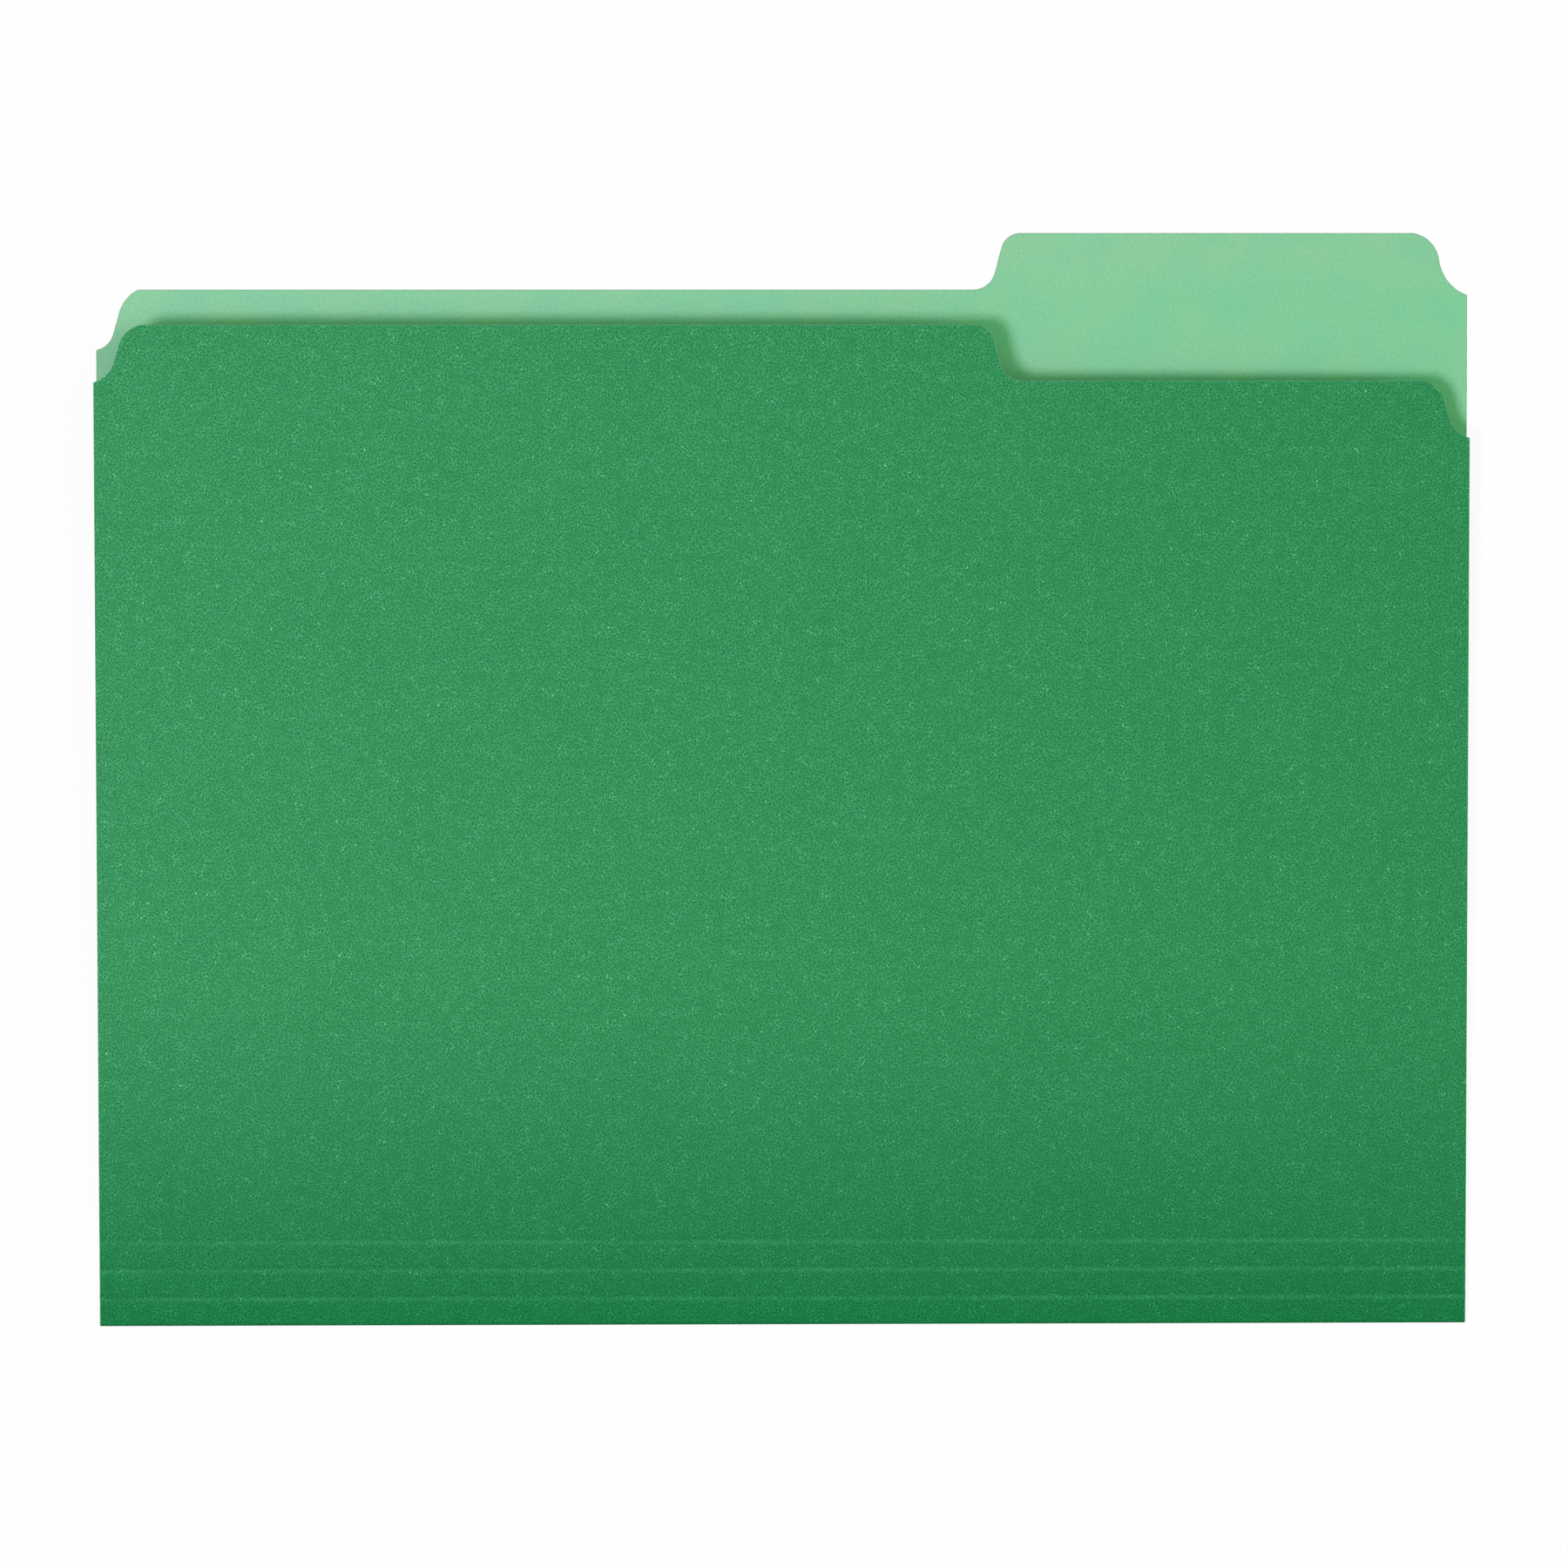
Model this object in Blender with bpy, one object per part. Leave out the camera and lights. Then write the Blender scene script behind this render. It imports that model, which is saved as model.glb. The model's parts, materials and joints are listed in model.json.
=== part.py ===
"""A two-tone file folder of card, closed and lying on its back leaf.

One sheet is folded at the bottom and scored three times above the fold.
X runs along the fold, Y from the fold to the tab, Z up from the back leaf.
"""

import math

import bmesh
import bpy

# The sheet, in metres
FOLDER_WIDTH = 0.29845         # along the fold
FOLDER_HEIGHT = 0.2381         # nose of the fold to the top of the tab
CARD = 0.00028                 # thickness of the card

# Where the two leaves are cut
TAB_RISE = 0.0123              # top of the tab above the back leaf's top edge
TAB_WIDTH = 0.1026             # middle of the tab's flank to the folder's right side
FRONT_SETBACK = 0.0078         # front leaf's top edge below the back leaf's top edge
FRONT_STEP = 0.0121            # front leaf's step down under the tab

# The S-shaped cuts: radii of the convex and concave arcs in metres, then the slope of the
# straight run between them and the angles at which the arcs meet the edges, in degrees
FLANK = {"convex": 0.0043, "concave": 0.0049, "slope": 75.5, "start": 0, "end": 0}
BACK_CORNER = {"drop": 0.0131, "convex": 0.0081, "concave": 0.0049, "slope": 74.5, "start": 27, "end": 12}
TAB_CORNER = {"drop": 0.0135, "convex": 0.0068, "concave": 0.0094, "slope": 81.5, "start": 8, "end": 20}
FRONT_CORNER = {"drop": 0.0124, "convex": 0.0066, "concave": 0.0062, "slope": 74, "start": 14, "end": 14}
ARC_STEPS = 10

# The fold and the score lines
FOLD_GAP = 0.0006              # clear space between the leaves at the fold
FOLD_STEPS = 12
FRONT_LEAN = math.radians(1.5)  # the front leaf stands a little open at rest
SCORE_COUNT = 3
SCORE_PITCH = 0.0062           # along the sheet, the first one from the nose of the fold
SCORE_WIDTH = 0.0016
SCORE_RELIEF = 0.00012         # how far a score line stands out of the outer face
SCORE_STEPS = 8
CREASE_GAP = 0.0003            # between a panel and the crease beside it
OPEN_CREASE_GAP = 0.0006       # above the last score line, where the front leaf slides away

# Finish of the card's two sides
OUTSIDE_COLOUR = (0.042, 0.287, 0.109, 1.0)
INSIDE_COLOUR = (0.250, 0.591, 0.342, 1.0)
CARD_ROUGHNESS = 0.85
SHARP_EDGE = math.radians(40)   # edges that turn further than this are shaded sharp

# The rolled fold, measured at the middle of the card
fold_radius = (FOLD_GAP + CARD) / 2
fold_nose_y = -FOLDER_HEIGHT / 2
roll_y = fold_nose_y + fold_radius + CARD / 2
roll_z = CARD / 2 + fold_radius

# The hinge line lies where the middle of the fold comes when the sheet is laid flat
fold_half = math.pi / 2 * fold_radius
hinge_y = roll_y - fold_half

# Heights of the edges, along the sheet from the nose of the fold
tab_top = FOLDER_HEIGHT
back_top = tab_top - TAB_RISE
front_top = back_top - FRONT_SETBACK
front_step_top = front_top - FRONT_STEP


def card_material(name, colour):
    material = bpy.data.materials.new(name)
    material.use_nodes = True
    shader = material.node_tree.nodes["Principled BSDF"]
    shader.inputs["Base Color"].default_value = colour
    shader.inputs["Roughness"].default_value = CARD_ROUGHNESS
    shader.inputs["Metallic"].default_value = 0.0
    return material


def s_cut(drop, convex, concave, slope, start, end):
    """Points of an S-shaped cut, from an edge at (0, 0) outwards and down by drop."""
    slope = math.radians(slope)
    start = math.radians(start)
    end = math.radians(end)
    convex_drop = convex * (math.cos(start) - math.cos(slope))
    concave_drop = concave * (math.cos(end) - math.cos(slope))
    fit = min(1.0, drop / (convex_drop + concave_drop))
    convex *= fit
    concave *= fit
    straight = (drop - fit * (convex_drop + concave_drop)) / math.sin(slope)
    points = []
    for step in range(ARC_STEPS + 1):
        angle = start + (slope - start) * step / ARC_STEPS
        x = convex * (math.sin(angle) - math.sin(start))
        y = convex * (math.cos(angle) - math.cos(start))
        points.append((x, y))
    turn_x = points[-1][0] + straight * math.cos(slope)
    turn_y = points[-1][1] - straight * math.sin(slope)
    first = 0 if straight > CARD else 1
    for step in range(first, ARC_STEPS + 1):
        angle = slope - (slope - end) * step / ARC_STEPS
        x = turn_x + concave * (math.sin(slope) - math.sin(angle))
        y = turn_y - concave * (math.cos(angle) - math.cos(slope))
        points.append((x, y))
    return points


def leaf_outline(bottom, left_top, right_top, left_corner, right_corner):
    """Outline of a leaf, anticlockwise from its lower left corner."""
    side = FOLDER_WIDTH / 2
    flank_x = side - TAB_WIDTH
    left_cut = s_cut(**left_corner)
    right_cut = s_cut(**right_corner)
    flank = s_cut(abs(right_top - left_top), **FLANK)
    left_start = left_cut[-1][0] - side
    right_start = side - right_cut[-1][0]
    half_run = flank[-1][0] / 2

    outline = [(-side, bottom), (side, bottom)]
    for x, y in reversed(right_cut):
        outline.append((right_start + x, right_top + y))
    if right_top > left_top:
        for x, y in flank:
            outline.append((flank_x + half_run - x, right_top + y))
    else:
        for x, y in reversed(flank):
            outline.append((flank_x - half_run + x, left_top + y))
    for x, y in left_cut:
        outline.append((left_start - x, left_top + y))
    return outline


def prism(points, along):
    """A closed solid: the flat outline through points, extruded by the vector along."""
    mesh = bmesh.new()
    face = mesh.faces.new([mesh.verts.new(point) for point in points])
    result = bmesh.ops.extrude_face_region(mesh, geom=[face])
    moved = [item for item in result["geom"] if isinstance(item, bmesh.types.BMVert)]
    bmesh.ops.translate(mesh, verts=moved, vec=along)
    bmesh.ops.recalc_face_normals(mesh, faces=mesh.faces)
    return mesh


def add_piece(name, mesh, is_outside, parent=None, location=(0, 0, 0), lean=0.0):
    """Make the named object, with the outside colour on the faces that is_outside picks."""
    for face in mesh.faces:
        face.normal_update()
        face.material_index = 0 if is_outside(face) else 1
    data = bpy.data.meshes.new(name)
    mesh.to_mesh(data)
    mesh.free()
    data.materials.append(outside_card)
    data.materials.append(inside_card)
    data.shade_smooth()
    data.set_sharp_from_angle(angle=SHARP_EDGE)
    piece = bpy.data.objects.new(name, data)
    piece.parent = parent
    piece.location = location
    piece.rotation_euler = (lean, 0, 0)
    bpy.context.scene.collection.objects.link(piece)
    return piece


def faces_down(face):
    return round(face.normal.z) == -1


def faces_up(face):
    return round(face.normal.z) == 1


def back_leaf():
    """The rear panel with its tab; a line across the tab's foot marks off the label face."""
    foot = roll_y - fold_nose_y + CREASE_GAP
    heights = leaf_outline(foot, back_top, tab_top, BACK_CORNER, TAB_CORNER)
    mesh = prism([(x, fold_nose_y + height, 0) for x, height in heights], (0, 0, CARD))
    tab_foot = (0, fold_nose_y + back_top, 0)
    everything = mesh.verts[:] + mesh.edges[:] + mesh.faces[:]
    bmesh.ops.bisect_plane(mesh, geom=everything, plane_co=tab_foot, plane_no=(0, 1, 0))
    return add_piece("back_leaf", mesh, faces_down)


def bottom_fold():
    """The card's round turn from the back leaf to the leaning front, about the hinge line."""
    mesh = bmesh.new()
    side = FOLDER_WIDTH / 2
    corners = []
    for x, offset in ((-side, -CARD / 2), (side, -CARD / 2), (side, CARD / 2), (-side, CARD / 2)):
        corners.append(mesh.verts.new((x, fold_half, offset - fold_radius)))
    face = mesh.faces.new(corners)
    turned = [face] + face.edges[:] + face.verts[:]
    bmesh.ops.spin(
        mesh,
        geom=turned,
        cent=(0, fold_half, 0),
        axis=(1, 0, 0),
        angle=FRONT_LEAN - math.pi,
        steps=FOLD_STEPS,
    )
    bmesh.ops.recalc_face_normals(mesh, faces=mesh.faces)

    def faces_out(face):
        centre = face.calc_center_median()
        return math.hypot(centre.y - fold_half, centre.z) > fold_radius + CARD / 4

    return add_piece("bottom_fold", mesh, faces_out, location=(0, hinge_y, roll_z))


def card_strip(name, start, end, mid_height, **place):
    """A plain strip of card across the folder, between two distances from its hinge line."""
    side = FOLDER_WIDTH / 2
    low = mid_height - CARD / 2
    points = [(-side, start, low), (side, start, low), (side, end, low), (-side, end, low)]
    return add_piece(name, prism(points, (0, 0, CARD)), faces_up, **place)


def score_line(name, **place):
    """A pressed score line: a narrow strip of card that swells out of the outer face."""
    upper = []
    lower = []
    for step in range(SCORE_STEPS + 1):
        share = step / SCORE_STEPS
        y = SCORE_WIDTH * (share - 0.5)
        swell = SCORE_RELIEF * (1 - math.cos(2 * math.pi * share)) / 2
        upper.append((-FOLDER_WIDTH / 2, y, swell + CARD / 2))
        lower.append((-FOLDER_WIDTH / 2, y, swell - CARD / 2))
    mesh = prism(lower + upper[::-1], (FOLDER_WIDTH, 0, 0))
    return add_piece(name, mesh, faces_up, **place)


def front_leaf(last_score, mid_height, **place):
    """The front panel, above the last score line at that distance from the hinge line."""
    base = SCORE_COUNT * SCORE_PITCH
    start = base + SCORE_WIDTH / 2 + OPEN_CREASE_GAP
    heights = leaf_outline(start, front_top, front_step_top, FRONT_CORNER, FRONT_CORNER)
    low = mid_height - CARD / 2
    points = [(x, last_score + height - base, low) for x, height in heights]
    return add_piece("front_leaf", prism(points, (0, 0, CARD)), faces_up, **place)


def folder():
    """The strips hang one on another from the fold, each with its origin on its hinge line.

    The front leaf hangs on the fold itself, and slides away from it as the strips stand up.
    """
    back_leaf()
    fold = bottom_fold()
    crease_half = SCORE_WIDTH / 2 + CREASE_GAP

    # The first strip carries on from the end of the roll
    roll_end = fold_half * math.cos(FRONT_LEAN)
    mid_height = fold_radius - fold_half * math.sin(FRONT_LEAN)
    first_score = roll_end + SCORE_PITCH - fold_radius * (math.pi / 2 - FRONT_LEAN)
    strip = card_strip(
        "base_strip_1",
        roll_end + CREASE_GAP,
        first_score - crease_half,
        mid_height,
        parent=fold,
        lean=FRONT_LEAN,
    )
    hinge = (0, first_score, mid_height)
    for number in range(1, SCORE_COUNT):
        score_line(f"score_line_{number}", parent=strip, location=hinge)
        strip = card_strip(
            f"base_strip_{number + 1}",
            crease_half,
            SCORE_PITCH - crease_half,
            0,
            parent=strip,
            location=hinge,
        )
        hinge = (0, SCORE_PITCH, 0)
    score_line(f"score_line_{SCORE_COUNT}", parent=strip, location=hinge)
    last_score = first_score + (SCORE_COUNT - 1) * SCORE_PITCH
    front_leaf(last_score, mid_height, parent=fold, lean=FRONT_LEAN)


for old in list(bpy.data.objects):
    bpy.data.objects.remove(old)
outside_card = card_material("outside_card", OUTSIDE_COLOUR)
inside_card = card_material("inside_card", INSIDE_COLOUR)
folder()
bpy.context.view_layer.update()
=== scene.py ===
import json
import math

import bmesh
import bpy
from mathutils import Euler, Matrix, Vector


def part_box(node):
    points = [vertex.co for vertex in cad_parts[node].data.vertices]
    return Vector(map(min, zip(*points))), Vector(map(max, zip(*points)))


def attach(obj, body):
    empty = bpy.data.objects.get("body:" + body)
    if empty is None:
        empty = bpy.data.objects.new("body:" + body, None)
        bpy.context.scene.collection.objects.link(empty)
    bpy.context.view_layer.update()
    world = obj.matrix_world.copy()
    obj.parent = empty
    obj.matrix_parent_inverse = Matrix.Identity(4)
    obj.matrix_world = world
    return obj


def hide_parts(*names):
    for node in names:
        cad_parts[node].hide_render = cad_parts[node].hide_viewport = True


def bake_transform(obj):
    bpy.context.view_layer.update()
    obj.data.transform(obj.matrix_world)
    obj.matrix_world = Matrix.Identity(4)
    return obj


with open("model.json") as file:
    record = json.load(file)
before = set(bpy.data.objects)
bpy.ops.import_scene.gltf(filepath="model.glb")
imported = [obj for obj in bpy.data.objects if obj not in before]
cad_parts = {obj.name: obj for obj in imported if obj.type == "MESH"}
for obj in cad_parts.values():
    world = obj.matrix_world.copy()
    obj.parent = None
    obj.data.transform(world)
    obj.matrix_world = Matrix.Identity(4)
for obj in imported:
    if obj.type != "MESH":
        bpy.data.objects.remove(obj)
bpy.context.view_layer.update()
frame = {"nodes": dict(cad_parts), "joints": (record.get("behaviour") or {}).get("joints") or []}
print("frame loaded:", len(frame["nodes"]), "solids")


# where the sheet runs, read off the frame

joints = {joint["name"]: joint for joint in frame["joints"]}
foldLine = Vector(joints["cover_open"]["pos_m"])
firstScore = Vector(joints["score_bend_1"]["pos_m"])
secondScore = Vector(joints["score_bend_2"]["pos_m"])
thirdScore = 2 * secondScore - firstScore
scoreLines = (firstScore, secondScore, thirdScore)
acrossX = Vector((1, 0, 0))
upSheet = (secondScore - firstScore).normalized()  # along the front, from the fold to its top
outOfFront = acrossX.cross(upSheet)
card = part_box("back_leaf")[1].z
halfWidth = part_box("back_leaf")[1].x
rollRadius = foldLine.z - card / 2
rollCentre = foldLine + Vector((0, math.pi / 2 * rollRadius, 0))
lean = math.atan2(upSheet.z, upSheet.y)
slack = 1e-6  # metres, for places that should agree


# shader expressions

viewRays = ("Is Camera Ray", "Is Glossy Ray", "Is Transmission Ray")


class Wire:
    def __init__(self, finish, socket):
        self.finish = finish
        self.socket = socket

    def maths(self, operation, first, second):
        return self.finish.add("ShaderNodeMath", {"operation": operation}, {0: first, 1: second})

    def __add__(self, other):
        return self.maths("ADD", self, other)

    def __radd__(self, other):
        return self.maths("ADD", other, self)

    def __sub__(self, other):
        return self.maths("SUBTRACT", self, other)

    def __rsub__(self, other):
        return self.maths("SUBTRACT", other, self)

    def __mul__(self, other):
        return self.maths("MULTIPLY", self, other)

    def __rmul__(self, other):
        return self.maths("MULTIPLY", other, self)

    def __truediv__(self, other):
        return self.maths("DIVIDE", self, other)

    def __pow__(self, other):
        return self.maths("POWER", self, other)

    def __abs__(self):
        return self.maths("ABSOLUTE", self, 0.0)


class Finish:
    def __init__(self, owner):  # a material or a world
        self.owner = owner
        self.owner.use_nodes = True
        self.tree = self.owner.node_tree
        self.tree.nodes.clear()

    def add(self, kind, settings=None, sockets=None, output=0):
        node = self.tree.nodes.new(kind)
        for name, value in (settings or {}).items():
            setattr(node, name, value)
        for key, value in (sockets or {}).items():
            if isinstance(value, Wire):
                self.tree.links.new(value.socket, node.inputs[key])
            else:
                node.inputs[key].default_value = value
        return Wire(self, node.outputs[output]) if node.outputs else None

    def place(self):  # where this spot of the card is in the closed folder, in metres
        return self.add("ShaderNodeAttribute", {"attribute_name": "restPlace"}, output="Vector")

    def axis(self, place, name):
        return self.add("ShaderNodeSeparateXYZ", {}, {0: place}, name)

    def stretched(self, place, scale, turn=0.0):
        return self.add(
            "ShaderNodeMapping",
            {"vector_type": "POINT"},
            {"Vector": place, "Rotation": (0, 0, turn), "Scale": scale},
        )

    def noise(self, place, size, detail=2.0, rough=0.5):  # about -1 to 1, in spots of that size
        spots = self.add(
            "ShaderNodeTexNoise",
            {"noise_dimensions": "2D"},
            {"Vector": place, "Scale": 1 / size, "Detail": detail, "Roughness": rough},
        )
        return (spots - 0.5) * 2

    def between(self, value, low, high):  # 0 at low, 1 at high, smooth
        return self.add(
            "ShaderNodeMapRange",
            {"interpolation_type": "SMOOTHSTEP"},
            {"Value": value, "From Min": low, "From Max": high},
        )

    def ramp(self, value, low, high):  # 0 at low, 1 at high, straight
        limits = {"Value": value, "From Min": low, "From Max": high}
        return self.add("ShaderNodeMapRange", {}, limits)

    def mix(self, share, first, second):  # 6, 7 and output 2 are its colour sockets
        return self.add("ShaderNodeMix", {"data_type": "RGBA"}, {0: share, 6: first, 7: second}, 2)

    def vectors(self, operation, sockets):
        return self.add("ShaderNodeVectorMath", {"operation": operation}, sockets)

    def shaded(self, colour, share, strength):  # times 1 + strength x share, channel by channel
        swing = self.vectors("SCALE", {0: strength, "Scale": share})
        gain = self.vectors("ADD", {0: swing, 1: (1, 1, 1)})
        gain = self.vectors("MAXIMUM", {0: gain, 1: (0, 0, 0)})
        return self.vectors("MULTIPLY", {0: colour, 1: gain})

    def bump(self, height, depth, strength):
        sockets = {"Height": height, "Distance": depth, "Strength": strength}
        return self.add("ShaderNodeBump", {}, sockets)

    def inView(self):  # 1 on what the camera sees straight, mirrored or through glass
        rays = [self.add("ShaderNodeLightPath", output=name) for name in viewRays]
        return rays[0].maths("MAXIMUM", rays[0], rays[1].maths("MAXIMUM", rays[1], rays[2]))

    def surface(self, sockets):
        shader = self.add("ShaderNodeBsdfPrincipled", {}, sockets)
        self.add("ShaderNodeOutputMaterial", {}, {"Surface": shader})
        return self.owner


def rgba(red, green, blue):
    return (red, green, blue, 1.0)


# the three finishes of the card

outsideLook = {
    "body": rgba(0.0364, 0.2705, 0.1018),
    # painted shade: the outside's tone is painted darker towards the fold, standing in for the
    # light that falls off there
    "foldShadeTone": rgba(0.0090, 0.1825, 0.0561),
    "foldShadeFrom": -0.036,             # along Y, where the painted shade towards the fold starts
    "foldShadeTo": -0.1185,
    "foldShadePower": 1.5,
    "paintedSideLight": (-0.19, -0.075, -0.12),    # painted light and shade: lighter on the left and darker on the right, as the light falls off across the card; change of tone from the middle to the right side
    "paintedSideLightLoss": 0.5,               # share of that change that is gone at the fold
    "noseFrom": -0.1181,            # painted shade: the turn of the fold, where the card turns away from the light, is painted darker still
    "noseTo": -0.1191,
    "nose": (-0.45, -0.35, -0.40),
    "grainSize": 0.00033,
    "grainStretch": (1.0, 0.9, 1.0),
    "grainTurn": 0.6,
    "grainDetail": 0.0,
    "grainLight": (1.62, 0.58, 0.96),   # swing of the fibre speckle in red, green and blue
    "grainDark": (1.08, 0.47, 0.70),
    "patchSize": 0.0026,
    "patchDetail": 1.0,
    "patch": 0.6,                   # how much the speckle's strength varies
    "mottleSize": 0.0026,
    "mottleDetail": 3.0,
    "mottleRough": 0.6,
    "mottle": (0.26, 0.115, 0.17),
    "cloudSize": 0.021,
    "cloudDetail": 2.0,
    "cloud": (0.07, 0.03, 0.045),
    "fleckSize": 0.00045,
    "fleckStretch": (1.0, 0.6, 1.0),
    "fleckTurn": 0.5,
    "fleckDetail": 1.0,
    "fleckPatch": 0.3,              # how much more flecks lie where the speckle is strong
    "fleckFrom": 0.47,              # higher leaves fewer flecks
    "fleckTo": 0.68,
    "fleck": (2.3, 0.78, 1.30),
    # a lighter line on each score line: partly rubbing wear, partly a painted highlight on the
    # flank that faces the light
    "wearAndHighlightSize": 0.0035,
    "wearAndHighlightStretch": (0.3, 1.0, 1.0),
    "wearAndHighlightDetail": 2.0,
    "wearAndHighlightBreaks": 0.6,              # how the wear and painted highlight is broken up along a line, and by the fibres
    "wearAndHighlightFibres": 1.2,
    "wearAndHighlightSpread": 0.75,
    "litFlankShift": -0.00025,          # the wear and painted highlight lie on the lower flank of a score line, the flank that faces the light
    "wearAndHighlightHalf": 0.00085,
    "wearAndHighlight": 0.30,
    "wearAndHighlightTone": rgba(0.075, 0.440, 0.185),
    "reliefMottle": 0.6,
    "reliefDepth": 0.00002,
    "relief": 0.5,
    "roughness": 0.82,
    "specular": 0.06,
}


def outsideCard(look):
    finish = Finish(bpy.data.materials.new("outsideCard"))
    place = finish.place()
    along = finish.axis(place, "Y")
    # painted shade, deepening towards the fold
    foldShade = finish.ramp(along, look["foldShadeFrom"], look["foldShadeTo"]) ** look["foldShadePower"]
    tone = finish.mix(foldShade, look["body"], look["foldShadeTone"])
    # painted light and shade across the card, weaker near the fold
    rightward = finish.axis(place, "X") / halfWidth * (1 - foldShade * look["paintedSideLightLoss"])
    tone = finish.shaded(tone, rightward, look["paintedSideLight"])
    # painted shade on the turn of the fold
    noseShade = finish.between(along, look["noseFrom"], look["noseTo"])
    tone = finish.shaded(tone, noseShade, look["nose"])

    turned = finish.stretched(place, look["grainStretch"], look["grainTurn"])
    grain = finish.noise(turned, look["grainSize"], look["grainDetail"])
    mottle = finish.noise(place, look["mottleSize"], look["mottleDetail"], look["mottleRough"])
    cloud = finish.noise(place, look["cloudSize"], look["cloudDetail"])
    patches = finish.noise(place, look["patchSize"], look["patchDetail"])
    tone = finish.shaded(tone, cloud, look["cloud"])
    tone = finish.shaded(tone, mottle, look["mottle"])
    speckle = grain * (1 + patches * look["patch"])
    tone = finish.shaded(tone, speckle.maths("MAXIMUM", speckle, 0.0), look["grainLight"])
    tone = finish.shaded(tone, speckle.maths("MINIMUM", speckle, 0.0), look["grainDark"])

    turned = finish.stretched(place, look["fleckStretch"], look["fleckTurn"])
    fibres = finish.noise(turned, look["fleckSize"], look["fleckDetail"])
    strong = fibres + patches * look["fleckPatch"]
    flecks = finish.between(strong, look["fleckFrom"], look["fleckTo"])
    tone = finish.shaded(tone, flecks, look["fleck"])

    # wear and painted highlight along the score lines, on the front only
    onFront = finish.between(finish.axis(place, "Z"), card, card * 2)
    drawnOut = finish.stretched(place, look["wearAndHighlightStretch"])
    broken = finish.noise(drawnOut, look["wearAndHighlightSize"], look["wearAndHighlightDetail"])
    brokenUp = broken * look["wearAndHighlightBreaks"] + fibres * look["wearAndHighlightFibres"]
    wornAndLit = finish.between(brokenUp, -look["wearAndHighlightSpread"], look["wearAndHighlightSpread"]) * onFront
    for line in scoreLines:
        away = abs(along - (line.y + look["litFlankShift"]))
        ridge = finish.between(away, look["wearAndHighlightHalf"], 0.0)
        tone = finish.mix(ridge * wornAndLit * look["wearAndHighlight"], tone, look["wearAndHighlightTone"])

    height = grain + mottle * look["reliefMottle"]
    relief = finish.bump(height, look["reliefDepth"], look["relief"])
    return finish.surface({
        "Base Color": tone,
        "Roughness": look["roughness"],
        "Specular IOR Level": look["specular"],
        "Normal": relief,
    })


insideLook = {
    "body": rgba(0.233, 0.600, 0.360),
    "warm": rgba(0.264, 0.606, 0.348),
    "paintedSideLight": (-0.095, -0.03, -0.07),    # painted light and shade: lighter on the left and darker on the right, as the light falls off across the card; change of tone from the middle to the right side
    "tabLightFrom": 0.103,               # painted light: the tab is paler towards its top, further from the front leaf's shade
    "tabLightTo": 0.115,
    "tab": (0.11, -0.005, 0.015),
    "cloudSize": 0.014,
    "cloudDetail": 4.0,
    "cloudRough": 0.6,
    "cloudSpread": 0.4,
    "grainSize": 0.0005,
    "grainStretch": (1.0, 0.8, 1.0),
    "grainTurn": 0.6,
    "grainDetail": 3.0,
    "grainRough": 0.7,
    "grain": (0.26, 0.13, 0.17),
    "reliefDepth": 0.00002,
    "relief": 0.35,
    "roughness": 0.84,
    "specular": 0.06,
}


def insideCard(look):
    finish = Finish(bpy.data.materials.new("insideCard"))
    place = finish.place()
    cloud = finish.noise(place, look["cloudSize"], look["cloudDetail"], look["cloudRough"])
    cloudy = finish.between(cloud, -look["cloudSpread"], look["cloudSpread"])
    tone = finish.mix(cloudy, look["body"], look["warm"])
    # painted light and shade across the card
    tone = finish.shaded(tone, finish.axis(place, "X") / halfWidth, look["paintedSideLight"])
    # painted light on the tab, paler towards its top
    tabLight = finish.between(finish.axis(place, "Y"), look["tabLightFrom"], look["tabLightTo"])
    tone = finish.shaded(tone, tabLight, look["tab"])
    turned = finish.stretched(place, look["grainStretch"], look["grainTurn"])
    grain = finish.noise(turned, look["grainSize"], look["grainDetail"], look["grainRough"])
    tone = finish.shaded(tone, grain, look["grain"])
    relief = finish.bump(grain, look["reliefDepth"], look["relief"])
    return finish.surface({
        "Base Color": tone,
        "Roughness": look["roughness"],
        "Specular IOR Level": look["specular"],
        "Normal": relief,
    })


cutEdgeLook = {
    "core": rgba(0.105, 0.365, 0.165),
    "pale": rgba(0.225, 0.505, 0.290),
    "spotSize": 0.0015,
    "spotDetail": 2.0,
    "spotRough": 0.6,
    "spotSpread": 0.35,
    "roughness": 0.9,
    "specular": 0.06,
}


def cutEdge(look):
    finish = Finish(bpy.data.materials.new("cutEdge"))
    place = finish.place()
    spots = finish.noise(place, look["spotSize"], look["spotDetail"], look["spotRough"])
    spotted = finish.between(spots, -look["spotSpread"], look["spotSpread"])
    tone = finish.mix(spotted, look["core"], look["pale"])
    return finish.surface({
        "Base Color": tone,
        "Roughness": look["roughness"],
        "Specular IOR Level": look["specular"],
    })


finishes = [outsideCard(outsideLook), insideCard(insideLook), cutEdge(cutEdgeLook)]
print("card finishes made:", [finish.name for finish in finishes])


# growing the sheet from its cross-section

rimLook = {
    "offset": 0.00013,              # rounding of the cut edges
    "segments": 3,
    "sharp": math.radians(40),      # an edge that turns more than this is a cut edge
    "flat": math.radians(1),        # and one that turns less than this isn't needed
    "cutFace": 0.7,                 # a face that looks less than this out of the sheet is cut
    "smoothArea": 0.0005,           # larger faces are the flat of a leaf, in square metres
}
beadLook = {
    "width": 0.0022,                # a pressed score line
    "relief": 0.00016,
    "steps": 10,
}
rollLook = {
    "steps": 7,                     # on each side of the nose of the fold
    "flat": math.radians(11.25),    # left plain to each side of the nose, where the card turns over
}


def onPlane(verts, point, direction):
    return all(abs((vert.co - point).dot(direction)) < slack for vert in verts)


def endFace(bm, point, direction):
    return next(face for face in bm.faces if onPlane(face.verts, point, direction))


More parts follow.
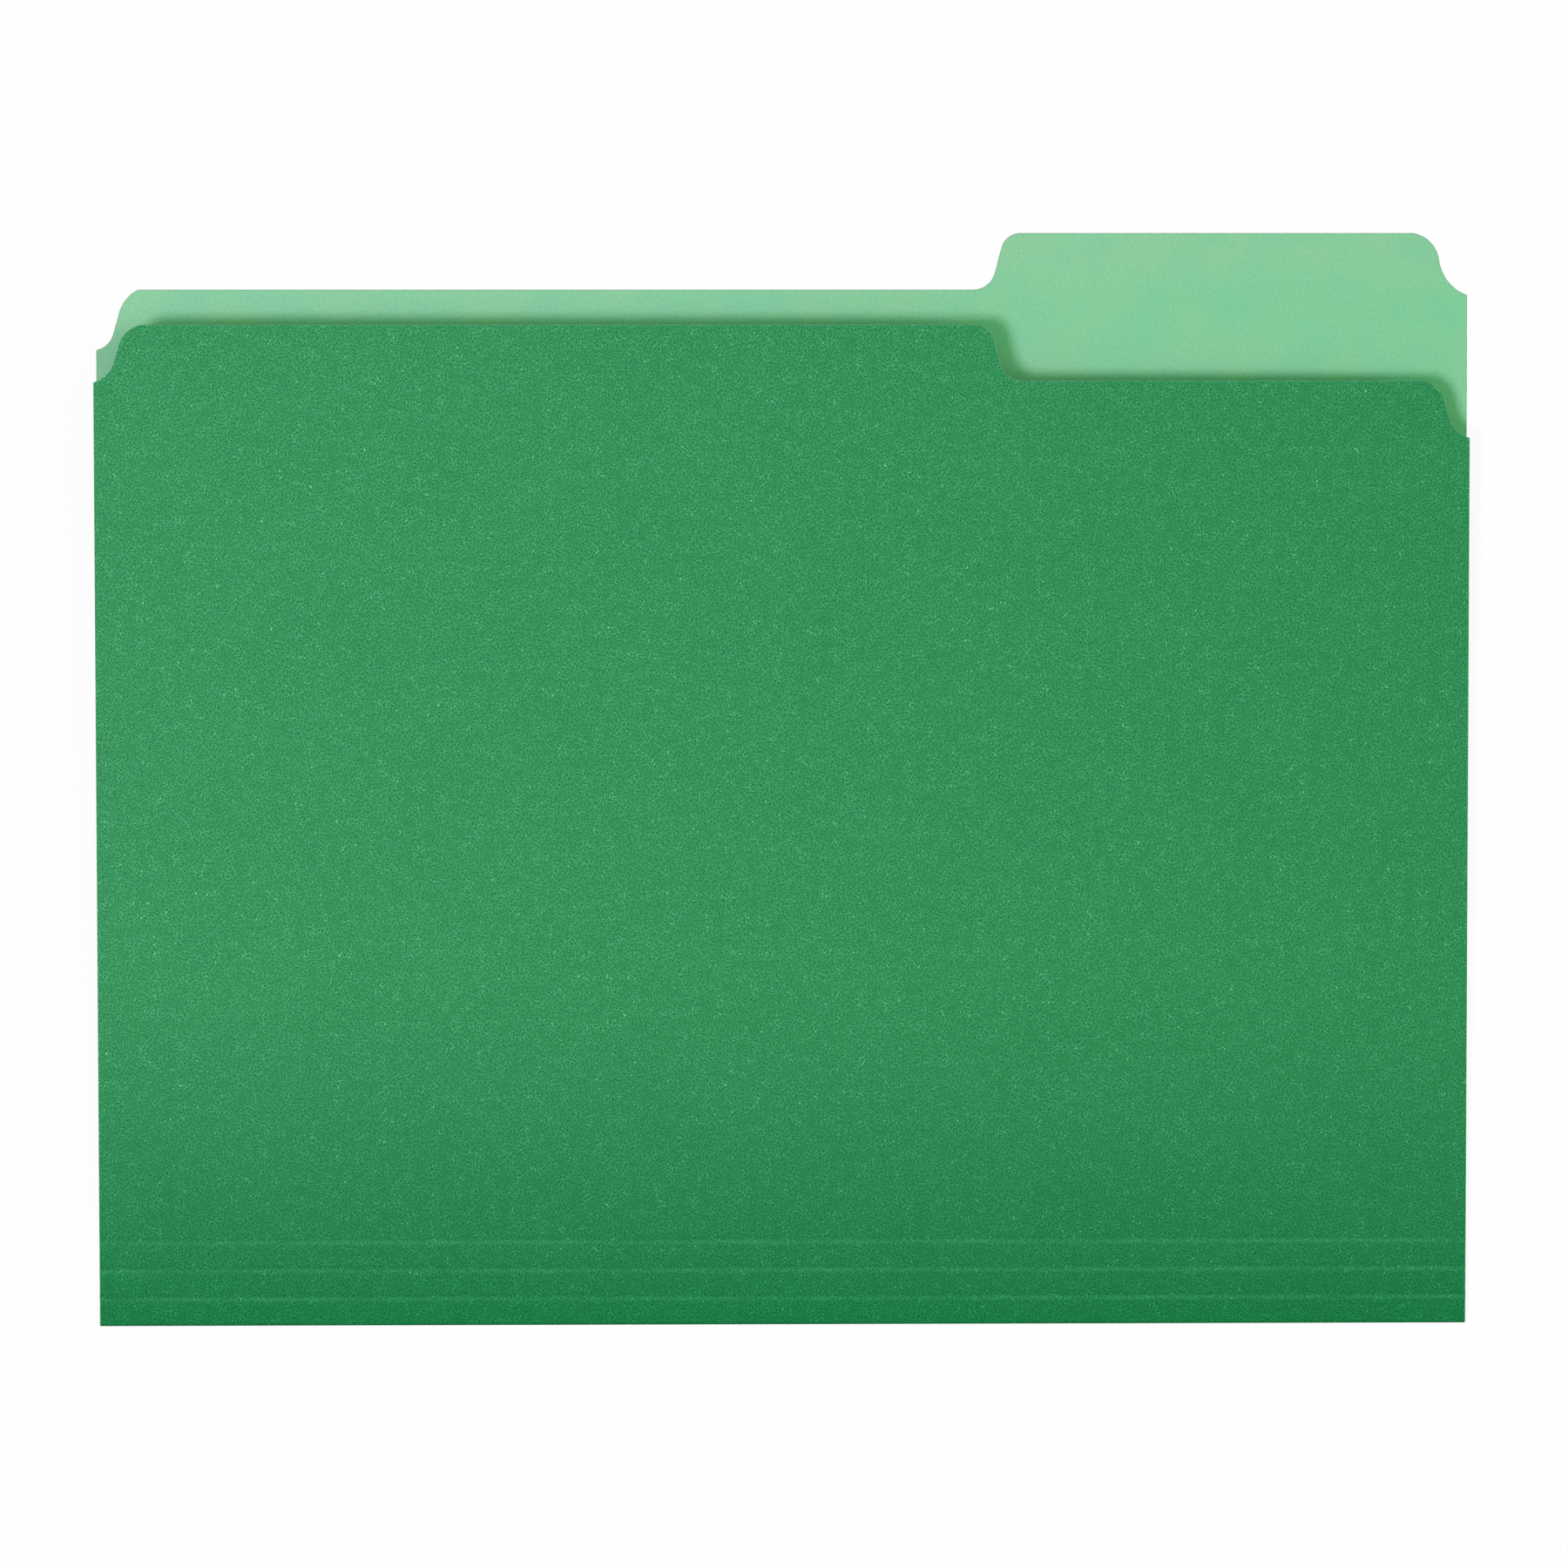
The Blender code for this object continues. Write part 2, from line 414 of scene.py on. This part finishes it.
def grow(bm, face):  # carries the sheet's end face one step on
    isFirst = len(bm.faces) == 1
    result = bmesh.ops.extrude_face_region(bm, geom=[face])["geom"]
    if not isFirst:
        bmesh.ops.delete(bm, geom=[face], context="FACES_ONLY")
    verts = [item for item in result if isinstance(item, bmesh.types.BMVert)]
    return next(item for item in result if isinstance(item, bmesh.types.BMFace)), verts


def growStraight(bm, face, move):
    face, verts = grow(bm, face)
    bmesh.ops.translate(bm, verts=verts, vec=move)
    return face


def growRoll(bm, face, angle, steps):
    for step in range(steps):
        face, verts = grow(bm, face)
        turn = Matrix.Rotation(angle / steps, 3, "X")
        bmesh.ops.rotate(bm, verts=verts, cent=rollCentre, matrix=turn)
    return face


def swell(distance):  # height of a score line at that distance from its middle
    share = min(1.0, abs(distance) * 2 / beadLook["width"])
    return beadLook["relief"] * (1 + math.cos(math.pi * share)) / 2


def growBead(bm, face, start, end, steps):
    for step in range(steps):
        here = start + (end - start) * step / steps
        there = start + (end - start) * (step + 1) / steps
        rise = swell(there) - swell(here)
        face = growStraight(bm, face, upSheet * (there - here) + outOfFront * rise)
    return face


def crossSection(point, normal):  # a new sheet's first face, at a point on the middle of the card
    bm = bmesh.new()
    corners = []
    for x, side in ((-halfWidth, -0.5), (halfWidth, -0.5), (halfWidth, 0.5), (-halfWidth, 0.5)):
        corners.append(bm.verts.new(point + acrossX * x + normal * card * side))
    return bm, bm.faces.new(corners)


def leafCopy(node):  # a CAD leaf as clean faces
    bm = bmesh.new()
    bm.from_mesh(frame["nodes"][node].data)
    bmesh.ops.remove_doubles(bm, verts=bm.verts, dist=slack)
    bmesh.ops.dissolve_limit(bm, angle_limit=rimLook["flat"], verts=bm.verts, edges=bm.edges)
    return bm


def finishSheet(name, bm, isOutside, seams):
    bmesh.ops.recalc_face_normals(bm, faces=bm.faces)
    rim = []
    for edge in bm.edges:
        atSeam = any(onPlane(edge.verts, point, direction) for point, direction in seams)
        if not atSeam and edge.calc_face_angle(0) > rimLook["sharp"]:
            rim.append(edge)
    rounded = bmesh.ops.bevel(
        bm,
        geom=rim,
        affect="EDGES",
        offset=rimLook["offset"],
        offset_type="OFFSET",
        segments=rimLook["segments"],
        profile=0.5,
        material=-1,
        clamp_overlap=True,
    )["faces"]
    bmesh.ops.recalc_face_normals(bm, faces=bm.faces)
    rounded = set(rounded)
    for face in bm.faces:
        outside = isOutside(face)
        cut = face in rounded or outside is None
        face.material_index = 2 if cut else 0 if outside else 1
        face.smooth = len(face.verts) == 4 and face.calc_area() < rimLook["smoothArea"]
    for edge in bm.edges:
        edge.smooth = edge.calc_face_angle(0) < rimLook["sharp"]
    # the finish is drawn on the closed folder, and moves with the card
    restPlace = bm.verts.layers.float_vector.new("restPlace")
    for vert in bm.verts:
        vert[restPlace] = vert.co
    mesh = bpy.data.meshes.new(name)
    bm.to_mesh(mesh)
    bm.free()
    for finish in finishes:
        mesh.materials.append(finish)
    piece = bpy.data.objects.new(name, mesh)
    bpy.context.scene.collection.objects.link(piece)
    print(name, "made:", len(mesh.polygons), "faces")
    return piece


def rollSide(face):  # True on the outside of the roll, None on its cut ends
    if abs(face.normal.x) > rimLook["cutFace"]:
        return None
    return (face.calc_center_median() - rollCentre).dot(face.normal) > 0


def backSide(face):  # True on the outside of the sheet, None on a cut edge
    centre = face.calc_center_median()
    if centre.y < rollCentre.y:
        return rollSide(face)
    return None if abs(face.normal.z) < rimLook["cutFace"] else face.normal.z < 0


def frontSide(face):
    centre = face.calc_center_median()
    if centre.y < rollCentre.y:
        return rollSide(face)
    facing = face.normal.dot(outOfFront)
    return None if abs(facing) < rimLook["cutFace"] else facing > 0


def shiftEnd(bm, point, direction, move):  # moves a leaf's lower edge up to the crease
    verts = [vert for vert in bm.verts if abs((vert.co - point).dot(direction)) < slack]
    bmesh.ops.translate(bm, verts=verts, vec=move)


# the five lengths of the sheet, from the tab round the fold to the top of the front

alongY = Vector((0, 1, 0))
beadHalf = beadLook["width"] / 2
beadEdge = upSheet * beadHalf
seamOut = Matrix.Rotation(-rollLook["flat"], 3, "X") @ -alongY  # out of the fold, past its nose
seam = rollCentre + seamOut * rollRadius
rollEnd = rollCentre + outOfFront * rollRadius

# where two lengths meet: a place and the way the sheet runs there
foldSeam = (seam, acrossX.cross(seamOut))
firstSeam = (firstScore - beadEdge, upSheet)
secondSeam = (secondScore - beadEdge, upSheet)
thirdSeam = (thirdScore, upSheet)

backStart = Vector((0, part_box("back_leaf")[0].y, 0))
backFoot = Vector((0, rollCentre.y, 0))
back = leafCopy("back_leaf")
shiftEnd(back, backStart, alongY, backFoot - backStart)
end = endFace(back, backFoot, alongY)
end = growRoll(back, end, rollLook["flat"] - math.pi / 2, rollLook["steps"])
growRoll(back, end, -2 * rollLook["flat"], 1)  # over the nose
backSheet = finishSheet("backSheet", back, backSide, [foldSeam])

baseOne, end = crossSection(seam, seamOut)
end = growRoll(baseOne, end, lean + rollLook["flat"] - math.pi / 2, rollLook["steps"])
growStraight(baseOne, end, firstScore - beadEdge - rollEnd)
baseSheetOne = finishSheet("baseSheetOne", baseOne, frontSide, [foldSeam, firstSeam])

baseTwo, end = crossSection(firstScore - beadEdge, outOfFront)
end = growBead(baseTwo, end, -beadHalf, beadHalf, beadLook["steps"])
growStraight(baseTwo, end, secondScore - firstScore - 2 * beadEdge)
baseSheetTwo = finishSheet("baseSheetTwo", baseTwo, frontSide, [firstSeam, secondSeam])

baseThree, end = crossSection(secondScore - beadEdge, outOfFront)
end = growBead(baseThree, end, -beadHalf, beadHalf, beadLook["steps"])
end = growStraight(baseThree, end, thirdScore - secondScore - 2 * beadEdge)
growBead(baseThree, end, -beadHalf, 0, beadLook["steps"] // 2)
baseSheetThree = finishSheet("baseSheetThree", baseThree, frontSide, [secondSeam, thirdSeam])

front = leafCopy("front_leaf")
frontGap = min((vert.co - thirdScore).dot(upSheet) for vert in front.verts)
frontStart = thirdScore + upSheet * frontGap
frontFoot = thirdScore + beadEdge
shiftEnd(front, frontStart, upSheet, frontFoot - frontStart)
end = endFace(front, frontFoot, upSheet)
growBead(front, end, beadHalf, 0, beadLook["steps"] // 2)
frontSheet = finishSheet("frontSheet", front, frontSide, [thirdSeam])

# the front leaf bows a little towards the back

bowLook = {
    "sag": 0.0012,                  # how much nearer to the back its top right corner lies
    "power": 1.5,                   # how the bow grows from the middle to the right side
    "cellsAcross": 16,
    "cellsUp": 6,
}


def bowFront(piece, look):
    bm = bmesh.new()
    bm.from_mesh(piece.data)
    reach = max((vert.co - thirdScore).dot(upSheet) for vert in bm.verts)
    cuts = []
    for cell in range(1, look["cellsAcross"]):
        share = 2 * cell / look["cellsAcross"] - 1
        cuts.append((acrossX * halfWidth * share, acrossX))
    for cell in range(1, look["cellsUp"]):
        cuts.append((thirdScore + upSheet * reach * cell / look["cellsUp"], upSheet))
    for point, direction in cuts:
        everything = bm.verts[:] + bm.edges[:] + bm.faces[:]
        bmesh.ops.bisect_plane(bm, geom=everything, plane_co=point, plane_no=direction)
    for vert in bm.verts:
        up = (vert.co - thirdScore).dot(upSheet) / reach
        rightward = max(0, vert.co.x / halfWidth)
        vert.co -= outOfFront * look["sag"] * up * rightward ** look["power"]
    bm.to_mesh(piece.data)
    bm.free()


bowFront(frontSheet, bowLook)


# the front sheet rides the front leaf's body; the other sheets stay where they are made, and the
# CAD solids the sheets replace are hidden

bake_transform(backSheet)
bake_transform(baseSheetOne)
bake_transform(baseSheetTwo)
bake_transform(baseSheetThree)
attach(frontSheet, "front")

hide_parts("back_leaf")
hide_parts("bottom_fold", "base_strip_1")
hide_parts("score_line_1", "base_strip_2")
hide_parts("score_line_2", "base_strip_3")
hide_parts("score_line_3", "front_leaf")

# floor, light and camera

floorLook = {
    "size": 4.0,
    "height": -0.0002,
    "white": rgba(0.95, 0.95, 0.95),
    "glow": 0.92,                   # share of plain white that the camera sees
}


def pageFloor(look):
    bm = bmesh.new()
    bmesh.ops.create_grid(bm, x_segments=1, y_segments=1, size=look["size"])
    bmesh.ops.translate(bm, verts=bm.verts, vec=(0, 0, look["height"]))
    mesh = bpy.data.meshes.new("pageFloor")
    bm.to_mesh(mesh)
    bm.free()
    finish = Finish(bpy.data.materials.new("pageWhite"))
    paint = finish.add("ShaderNodeBsdfDiffuse", {}, {"Color": look["white"]})
    glow = finish.add("ShaderNodeEmission", {}, {"Color": rgba(1, 1, 1), "Strength": 1.0})
    seen = finish.inView() * look["glow"]
    both = finish.add("ShaderNodeMixShader", {}, {0: seen, 1: paint, 2: glow})
    finish.add("ShaderNodeOutputMaterial", {}, {"Surface": both})
    mesh.materials.append(finish.owner)
    floor = bpy.data.objects.new("pageFloor", mesh)
    bpy.context.scene.collection.objects.link(floor)


lightLook = {
    "room": (0.215, 0.455, 0.23),   # light from all round, greener than the key light
    "key": {
        "colour": (0.585, 0.385, 0.573),    # white on a level face, with the room and the fill
        "lean": (-0.64, -0.34),     # towards the left and the fold, for each unit of height
        "angle": math.radians(20),
    },
    "fill": {
        "colour": (0.18, 0.18, 0.18),
        "lean": (2.0, 0.0),         # low, from the right
        "angle": math.radians(35),
    },
}


def sunLight(name, look):
    toSun = Vector((look["lean"][0], look["lean"][1], 1)).normalized()
    brightest = max(look["colour"])
    sun = bpy.data.lights.new(name, "SUN")
    sun.color = [part / brightest for part in look["colour"]]
    sun.energy = brightest * math.pi / toSun.z  # so that a level face takes that much light
    sun.angle = look["angle"]
    lamp = bpy.data.objects.new(name, sun)
    lamp.rotation_euler = toSun.to_track_quat("Z", "Y").to_euler()
    bpy.context.scene.collection.objects.link(lamp)


def studioLight(look):
    world = bpy.data.worlds.new("studio")
    bpy.context.scene.world = world
    finish = Finish(world)
    colour = finish.mix(finish.inView(), rgba(*look["room"]), rgba(1, 1, 1))
    light = finish.add("ShaderNodeBackground", {}, {"Color": colour, "Strength": 1.0})
    finish.add("ShaderNodeOutputWorld", {}, {"Surface": light})
    sunLight("keyLight", look["key"])
    sunLight("fillLight", look["fill"])


cameraLook = {
    "place": (-0.01673, 0.03066, 1.2),
    "turn": (1.506, 0.807, 0.078),  # degrees about X, Y and Z
    "focal": 6315.9,                # in pixels of an 1800 pixel frame
    "frame": 1800,
    "sensor": 36.0,
}


def pageCamera(look):
    data = bpy.data.cameras.new("pageCamera")
    data.sensor_width = look["sensor"]
    data.lens = look["focal"] / look["frame"] * look["sensor"]
    camera = bpy.data.objects.new("pageCamera", data)
    turn = Euler([math.radians(angle) for angle in look["turn"]], "XYZ").to_matrix()
    camera.matrix_world = Matrix.Translation(look["place"]) @ turn.transposed().to_4x4()
    bpy.context.scene.collection.objects.link(camera)
    bpy.context.scene.camera = camera


pageFloor(floorLook)
studioLight(lightLook)
pageCamera(cameraLook)
bpy.context.scene.view_settings.view_transform = "Standard"
print("floor, light and camera set")
